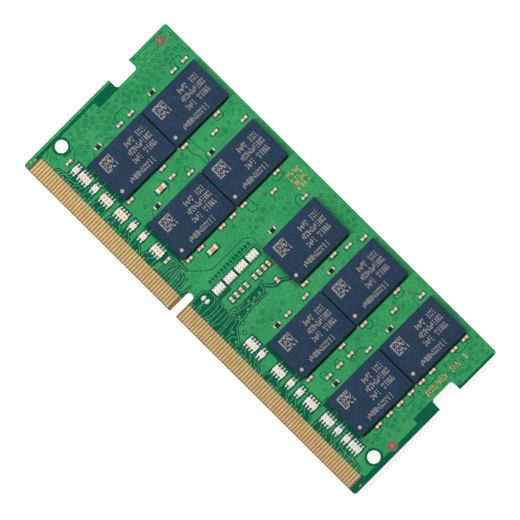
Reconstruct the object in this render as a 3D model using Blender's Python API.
"""A double-sided small-outline memory module: its board, and the pieces that are soldered to it.

The board lies flat. The origin is the middle of the contact edge, at half the board's thickness. +X runs
along the long side, +Y runs from the contacts to the top edge, and +Z points out of the front face. Sizes
are in millimetres here, as on a board drawing, and become metres when a mesh is made. Places on the board
are given from its left end (the -X end) and from its contact edge.
"""

import math

import bmesh
import bpy
from mathutils import Matrix

MM = 0.001
TINY = 1e-7  # metres: points closer than this are at one height
SMOOTH_ANGLE = math.radians(35)  # edges sharper than this stay crisp

# The board's outline.
BOARD_LENGTH = 69.6
BOARD_WIDTH = 30.0
BOARD_THICKNESS = 1.2
CORNER_RADIUS = 0.5
ARC_STEPS = 6

# The key notch in the contact edge. Its inner end is a half circle.
KEY_CENTRE = 31.33
KEY_WIDTH = 1.2
KEY_DEPTH = 4.1

# The two notches in the ends, where the socket's arms latch.
LATCH_DEPTH = 1.8
LATCH_LOW = 18.0
LATCH_HIGH = 22.2
LATCH_RADIUS = 0.5

# The two plain holes near the ends.
HOLE_RADIUS = 1.0
HOLE_SPACING = 65.6
HOLE_HEIGHT = 6.0
HOLE_STEPS = 32
DRILL_LENGTH = 3 * BOARD_THICKNESS

# Every soldered piece stands off the board by this film of solder.
SOLDER_FILM = 0.03

# The memory package: a moulded block over two fields of solder balls.
PACKAGE_WIDTH = 7.5
PACKAGE_HEIGHT = 11.0
PACKAGE_RISE = 1.1
BALL_RISE = 0.3
BALL_PITCH = 0.8
BALL_DIAMETER = 0.45
BALL_COLUMNS = 3
BALL_ROWS = 13
BALL_FIELD_CENTRE = 3 * BALL_PITCH
COLUMN_PLACES = (10.58, 23.03, 48.15, 60.34)
UPPER_ROW = 23.58
LOWER_ROW = 12.36
MIDDLE_PACKAGE = (37.68, 21.73)

# The resistor arrays: a slab of ceramic with rounded terminals along both long sides.
ARRAY_PITCH = 0.5
ARRAY_DEPTH = 1.0
MIDDLE_ARRAY_DEPTH = 1.4
ARRAY_RISE = 0.42
TERMINAL_WIDTH = 0.32
TERMINAL_REACH = 0.12
CONTACT_ARRAY_HEIGHT = 5.1
ARRAYS_OF_TWO = (6.07, 10.03, 17.93, 20.1, 44.97, 51.1, 53.0, 61.05, 62.8)
ARRAYS_OF_FOUR = (7.9, 12.45, 15.55, 23.15, 42.95, 48.65, 55.37, 58.87, 64.57)
MIDDLE_ARRAY_COLUMN = 33.6
MIDDLE_ARRAY_FIRST = 7.57
MIDDLE_ARRAY_STEP = 2.325
MIDDLE_ARRAY_COUNT = 4

# The small two-ended chips: length, width, rise, and how far each end cap wraps along the length.
RESISTOR_SIZE = (1.0, 0.5, 0.35, 0.22)
CAPACITOR_SIZE = (1.0, 0.5, 0.5, 0.25)
BULK_SIZE = (1.6, 0.8, 0.8, 0.35)
CAP_LIP = 0.015
BULK_PLACES = ((16.95, 12.05), (28.8, 11.0))
TOP_CAPACITOR_COLUMNS = (5.9, 18.4, 43.55, 55.7, 64.75)
TOP_CAPACITOR_HEIGHT = 28.1
CONTACT_CAPACITOR_COLUMNS = (4.5, 25.15)
RESISTOR_COLUMNS = (5.9, 18.4, 43.5, 55.8)
UPPER_RESISTORS = 21.2
LOWER_RESISTORS = 9.8
MIDDLE_RESISTOR = (33.05, 19.3)

# The identification memory on the back face, beside the middle package.
SPD_PLACE = (33.6, 11.2)
SPD_SIZE = (2.0, 3.0, 0.75)

# The bevel round the top of a moulded package.
EDGE_BEVEL = 0.05


def from_left(distance):
    """The x of a place given from the board's left end."""
    return distance - BOARD_LENGTH / 2


def arc(centre, radius, start, end, steps=ARC_STEPS):
    """Points on an arc, from the angle start to the angle end in degrees."""
    turn = [math.radians(start + (end - start) * i / steps) for i in range(steps + 1)]
    return [(centre[0] + radius * math.cos(a), centre[1] + radius * math.sin(a)) for a in turn]


def board_outline():
    """The board's outline, counter-clockwise from the left end of the contact edge."""
    half, top, r = BOARD_LENGTH / 2, BOARD_WIDTH, CORNER_RADIUS
    key, key_half = from_left(KEY_CENTRE), KEY_WIDTH / 2
    floor, inner = half - LATCH_DEPTH, LATCH_RADIUS
    points = arc((-half + r, r), r, 180, 270)
    points += [(key - key_half, 0)]
    points += arc((key, KEY_DEPTH - key_half), key_half, 180, 0, 2 * ARC_STEPS)
    points += [(key + key_half, 0)]
    points += arc((half - r, r), r, 270, 360)
    points += [(half, LATCH_LOW)]
    points += arc((floor + inner, LATCH_LOW + inner), inner, 270, 180)
    points += arc((floor + inner, LATCH_HIGH - inner), inner, 180, 90)
    points += [(half, LATCH_HIGH)]
    points += arc((half - r, top - r), r, 0, 90)
    points += arc((-half + r, top - r), r, 90, 180)
    points += [(-half, LATCH_HIGH)]
    points += arc((-floor - inner, LATCH_HIGH - inner), inner, 90, 0)
    points += arc((-floor - inner, LATCH_LOW + inner), inner, 0, -90)
    points += [(-half, LATCH_LOW)]
    return points


def prism(outline, low, high):
    """A bmesh of an outline carried from z = low to z = high, in metres."""
    bm = bmesh.new()
    floor = bm.faces.new([bm.verts.new((x * MM, y * MM, low * MM)) for x, y in outline])
    grown = bmesh.ops.extrude_face_region(bm, geom=[floor])["geom"]
    rising = [v for v in grown if isinstance(v, bmesh.types.BMVert)]
    bmesh.ops.translate(bm, verts=rising, vec=(0, 0, (high - low) * MM))
    bmesh.ops.recalc_face_normals(bm, faces=bm.faces)
    return bm


def block(width, depth, low, high):
    """A bmesh of a plain block standing on z = low, centred on the origin."""
    x, y = width / 2, depth / 2
    return prism([(-x, -y), (x, -y), (x, y), (-x, y)], low, high)


def finish_mesh(bm, name):
    """Turn a bmesh into a mesh whose gentle edges are shaded smooth."""
    mesh = bpy.data.meshes.new(name)
    bm.to_mesh(mesh)
    bm.free()
    mesh.shade_smooth()
    mesh.set_sharp_from_angle(angle=SMOOTH_ANGLE)
    return mesh


def soften_top(bm, top):
    """Bevel the edges round the highest face."""
    edges = [e for e in bm.edges if all(abs(v.co.z - top * MM) < TINY for v in e.verts)]
    bmesh.ops.bevel(bm, geom=edges, offset=EDGE_BEVEL * MM, segments=1, affect="EDGES")


def underside(bm):
    """The faces that close a package's moulded block below."""
    return [f for f in bm.faces if abs(f.calc_center_median().z - BALL_RISE * MM) < TINY]


def cut_underside(bm, at, across):
    """Split the underside along one straight line through `at`."""
    faces = underside(bm)
    edges = {e for f in faces for e in f.edges}
    verts = {v for f in faces for v in f.verts}
    line = tuple(value * MM for value in at)
    geom = [*faces, *edges, *verts]
    bmesh.ops.bisect_plane(bm, geom=geom, plane_co=line, plane_no=across, dist=TINY / 10)


def package_mesh():
    """The memory package: a moulded block whose underside carries two pads in place of the ball fields."""
    bm = block(PACKAGE_WIDTH, PACKAGE_HEIGHT, BALL_RISE, PACKAGE_RISE)
    soften_top(bm, PACKAGE_RISE)
    half_width = ((BALL_COLUMNS - 1) * BALL_PITCH + BALL_DIAMETER) / 2
    half_length = ((BALL_ROWS - 1) * BALL_PITCH + BALL_DIAMETER) / 2
    inner, outer = BALL_FIELD_CENTRE - half_width, BALL_FIELD_CENTRE + half_width
    for x in (-outer, -inner, inner, outer):
        cut_underside(bm, (x, 0, 0), (1, 0, 0))
    for y in (-half_length, half_length):
        cut_underside(bm, (0, y, 0), (0, 1, 0))

    def carries_balls(face):
        middle = face.calc_center_median() / MM
        return inner < abs(middle.x) < outer and abs(middle.y) < half_length

    pads = [f for f in underside(bm) if carries_balls(f)]
    grown = bmesh.ops.extrude_face_region(bm, geom=pads)["geom"]
    lowered = [v for v in grown if isinstance(v, bmesh.types.BMVert)]
    bmesh.ops.translate(bm, verts=lowered, vec=(0, 0, (SOLDER_FILM - BALL_RISE) * MM))
    bmesh.ops.delete(bm, geom=[f for f in pads if f.is_valid], context="FACES_ONLY")
    bmesh.ops.recalc_face_normals(bm, faces=bm.faces)
    return finish_mesh(bm, "memory_package")


def array_mesh(count, depth, name):
    """A resistor array lying along X: a slab with `count` terminals standing out of each long side."""
    half_length = count * ARRAY_PITCH / 2
    wall = depth / 2 - TERMINAL_REACH
    front = [(-half_length, -wall)]
    for i in range(count):
        centre = (i - (count - 1) / 2) * ARRAY_PITCH
        lead, tip = TERMINAL_WIDTH / 2, TERMINAL_WIDTH / 3
        front += [(centre - lead, -wall), (centre - tip, -depth / 2)]
        front += [(centre + tip, -depth / 2), (centre + lead, -wall)]
    front += [(half_length, -wall)]
    outline = front + [(-x, -y) for x, y in front]
    return finish_mesh(prism(outline, SOLDER_FILM, ARRAY_RISE), name)


def chip_mesh(size, name):
    """A two-ended chip lying along X: a body between two end caps that stand a little proud of it."""
    length, width, rise, wrap = size
    ends = [-length / 2, wrap - length / 2, wrap - length / 2]
    places = ends + [-x for x in reversed(ends)]
    bm = bmesh.new()
    rings = []
    for i, x in enumerate(places):
        lip = CAP_LIP if i in (2, 3) else 0.0
        y, low, high = width / 2 - lip, SOLDER_FILM + lip, rise - lip
        corners = ((-y, low), (y, low), (y, high), (-y, high))
        rings.append([bm.verts.new((x * MM, a * MM, b * MM)) for a, b in corners])
    for one, two in zip(rings, rings[1:]):
        for i in range(4):
            j = (i + 1) % 4
            bm.faces.new((one[i], one[j], two[j], two[i]))
    bm.faces.new(rings[0])
    bm.faces.new(rings[-1])
    bmesh.ops.recalc_face_normals(bm, faces=bm.faces)
    return finish_mesh(bm, name)


def material(name, colour, roughness, metallic=0.0):
    """A Principled BSDF material with one colour, in linear RGB."""
    made = bpy.data.materials.new(name)
    made.use_nodes = True
    shader = made.node_tree.nodes["Principled BSDF"]
    shader.inputs["Base Color"].default_value = (*colour, 1.0)
    shader.inputs["Roughness"].default_value = roughness
    shader.inputs["Metallic"].default_value = metallic
    made.diffuse_color = (*colour, 1.0)
    return made


def add(name, mesh, finish, parent=None):
    """Add an object with its material, held by a parent where there is one."""
    piece = bpy.data.objects.new(name, mesh)
    bpy.context.collection.objects.link(piece)
    if not mesh.materials:
        mesh.materials.append(finish)
    piece.parent = parent
    return piece


def place(piece, x, y, turn=0.0, back=False):
    """Stand a piece on the front face, or under the back face, turned in the board's plane."""
    surface = BOARD_THICKNESS / 2 * (-1 if back else 1)
    at = Matrix.Translation((from_left(x) * MM, y * MM, surface * MM))
    flip = Matrix.Rotation(math.pi, 4, "Y") if back else Matrix.Identity(4)
    piece.matrix_basis = at @ flip @ Matrix.Rotation(math.radians(turn), 4, "Z")


def add_board(finish):
    """The board, cut by two cylinders for its plain holes."""
    half = BOARD_THICKNESS / 2
    board = add("board", finish_mesh(prism(board_outline(), -half, half), "board"), finish)
    for side in (-1, 1):
        bm = bmesh.new()
        bmesh.ops.create_cone(
            bm,
            cap_ends=True,
            segments=HOLE_STEPS,
            radius1=HOLE_RADIUS * MM,
            radius2=HOLE_RADIUS * MM,
            depth=DRILL_LENGTH * MM,
        )
        drill = add("drill_left" if side < 0 else "drill_right", finish_mesh(bm, "drill"), finish)
        drill.location = (side * HOLE_SPACING / 2 * MM, HOLE_HEIGHT * MM, 0)
        drill.hide_render = True
        drill.display_type = "WIRE"
        cut = board.modifiers.new("hole", "BOOLEAN")
        cut.object = drill
        cut.operation = "DIFFERENCE"
        cut.solver = "EXACT"
    return board


def package_places():
    """The places of the nine packages on one face: the upper row, the lower row, then the middle one."""
    rows = [(x, y) for y in (UPPER_ROW, LOWER_ROW) for x in COLUMN_PLACES]
    return rows + [MIDDLE_PACKAGE]


def add_packages(board, finish):
    """Nine memory packages on each face, those on the back face behind those on the front face."""
    mesh = package_mesh()
    for number, (x, y) in enumerate(package_places(), 1):
        for face in ("front", "back"):
            place(add(f"dram_{face}_{number}", mesh, finish, board), x, y, back=face == "back")


def add_arrays(board, finish):
    """The resistor arrays along the contacts, and the four in the middle."""
    two = array_mesh(2, ARRAY_DEPTH, "array_of_two")
    four = array_mesh(4, ARRAY_DEPTH, "array_of_four")
    middle = array_mesh(4, MIDDLE_ARRAY_DEPTH, "middle_array")
    row = [(x, two) for x in ARRAYS_OF_TWO] + [(x, four) for x in ARRAYS_OF_FOUR]
    for number, (x, mesh) in enumerate(sorted(row, key=lambda pair: pair[0]), 1):
        place(add(f"resistor_array_{number}", mesh, finish, board), x, CONTACT_ARRAY_HEIGHT)
    for i in range(MIDDLE_ARRAY_COUNT):
        y = MIDDLE_ARRAY_FIRST + i * MIDDLE_ARRAY_STEP
        piece = add(f"termination_array_{i + 1}", middle, finish, board)
        place(piece, MIDDLE_ARRAY_COLUMN, y, turn=90)


def add_chips(board, dark, pale):
    """The chip resistors beside the packages, the bulk capacitors, and the capacitors of two rows."""
    resistor = chip_mesh(RESISTOR_SIZE, "chip_resistor")
    bulk = chip_mesh(BULK_SIZE, "bulk_capacitor")
    small = chip_mesh(CAPACITOR_SIZE, "small_capacitor")
    tops = [(x, TOP_CAPACITOR_HEIGHT) for x in TOP_CAPACITOR_COLUMNS]
    lows = [(x, CONTACT_ARRAY_HEIGHT) for x in CONTACT_CAPACITOR_COLUMNS]
    beside = [(x, y) for y in (UPPER_RESISTORS, LOWER_RESISTORS) for x in RESISTOR_COLUMNS]
    kinds = (
        ("chip_resistor", resistor, dark, [*beside, MIDDLE_RESISTOR]),
        ("bulk_capacitor", bulk, pale, BULK_PLACES),
        ("top_capacitor", small, pale, tops),
        ("contact_capacitor", small, pale, lows),
    )
    for name, mesh, finish, places in kinds:
        for number, (x, y) in enumerate(places, 1):
            place(add(f"{name}_{number}", mesh, finish, board), x, y, turn=90)


def add_identification_memory(board, finish):
    """The small leadless package on the back face."""
    width, height, rise = SPD_SIZE
    bm = block(width, height, SOLDER_FILM, rise)
    soften_top(bm, rise)
    place(add("spd_eeprom", finish_mesh(bm, "spd_eeprom"), finish, board), *SPD_PLACE, back=True)


def build():
    for old in list(bpy.data.objects):
        bpy.data.objects.remove(old)
    board = add_board(material("solder_mask", (0.02, 0.32, 0.12), 0.35))
    add_packages(board, material("mould_compound", (0.03, 0.05, 0.085), 0.6))
    add_arrays(board, material("array_ceramic", (0.8, 0.78, 0.72), 0.45))
    dark = material("resistor_glaze", (0.02, 0.02, 0.025), 0.3)
    pale = material("capacitor_ceramic", (0.55, 0.33, 0.16), 0.45)
    add_chips(board, dark, pale)
    add_identification_memory(board, material("small_mould", (0.02, 0.022, 0.025), 0.55))


build()
